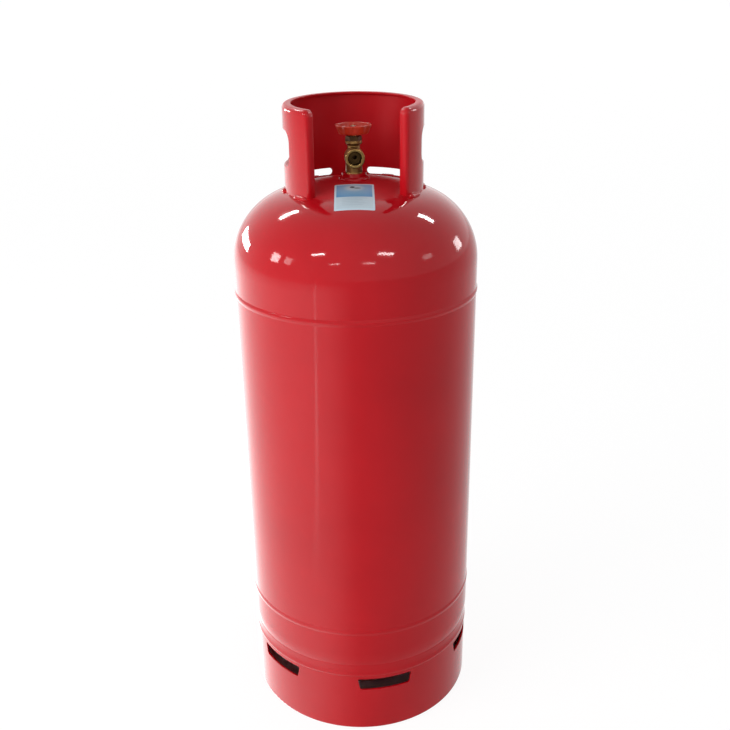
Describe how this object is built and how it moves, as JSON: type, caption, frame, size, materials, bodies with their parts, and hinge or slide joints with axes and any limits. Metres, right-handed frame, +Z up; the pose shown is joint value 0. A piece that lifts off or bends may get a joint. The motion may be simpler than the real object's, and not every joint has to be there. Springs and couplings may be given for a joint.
{
  "type": "gas cylinder",
  "caption": "Tall painted steel gas cylinder with domed heads, slotted foot ring, rolled guard collar with hand holes, and a brass valve opened by a hand wheel.",
  "frame": {"origin": "middle of the foot ring's underside, on the cylinder's axis", "axes": "+Z up along the cylinder's axis; the guard's opening and the valve's outlet face -Y"},
  "size_m": [0.4092, 0.4092, 1.0814],
  "materials": {
    "painted_shell": "glossy red paint",
    "painted_weld": "glossy red paint over weld ripples",
    "painted_guard": "glossy red paint",
    "painted_foot": "glossy red paint",
    "painted_socket": "glossy red paint",
    "bare_steel": "bare plate",
    "label_film": "printed film in blue and pale blue fields",
    "forged_brass": "forged and tumbled",
    "turned_brass": "turned",
    "black_rubber": "moulded",
    "slip_plastic": "turned",
    "wheel_plastic": "orange-red moulded plastic",
    "zinc_steel": "zinc plated"
  },
  "bodies": {
    "cylinder": {"shell": "painted_shell", "seam_weld": "painted_weld", "top_head": "painted_shell", "bottom_head": "painted_shell", "upper_girth_weld": "painted_weld", "lower_girth_weld": "painted_weld", "upper_backing_ring": "bare_steel", "lower_backing_ring": "bare_steel", "foot_ring": "painted_foot", "foot_ring_weld": "painted_weld", "guard_collar": "painted_guard", "guard_welds": "painted_weld", "label": "label_film", "valve_socket": "painted_socket", "socket_weld": "painted_weld", "valve_body": "forged_brass", "gland_nut": "turned_brass", "spindle_seal": "black_rubber", "thrust_washer": "slip_plastic"},
    "spindle_group": {"spindle": "turned_brass", "handwheel": "wheel_plastic", "handwheel_washer": "zinc_steel", "handwheel_nut": "zinc_steel"},
    "plug_group": {"valve_plug": "turned_brass", "seat_disc": "slip_plastic"}
  },
  "joints": [
    {"name": "handwheel_turn", "type": "hinge", "parent": "cylinder", "child": "spindle_group", "pos_m": [0, 0, 0.96524], "axis": [0, 0, 1], "range_deg": [0, 720]},
    {"name": "plug_lift", "type": "slide", "parent": "spindle_group", "child": "plug_group", "axis": [0, 0, 1], "range_m": [0, 0.003]}
  ],
  "couplings": [
    {"joint": "plug_lift", "follows": "handwheel_turn", "m_per_rad": 0.00023873}
  ]
}
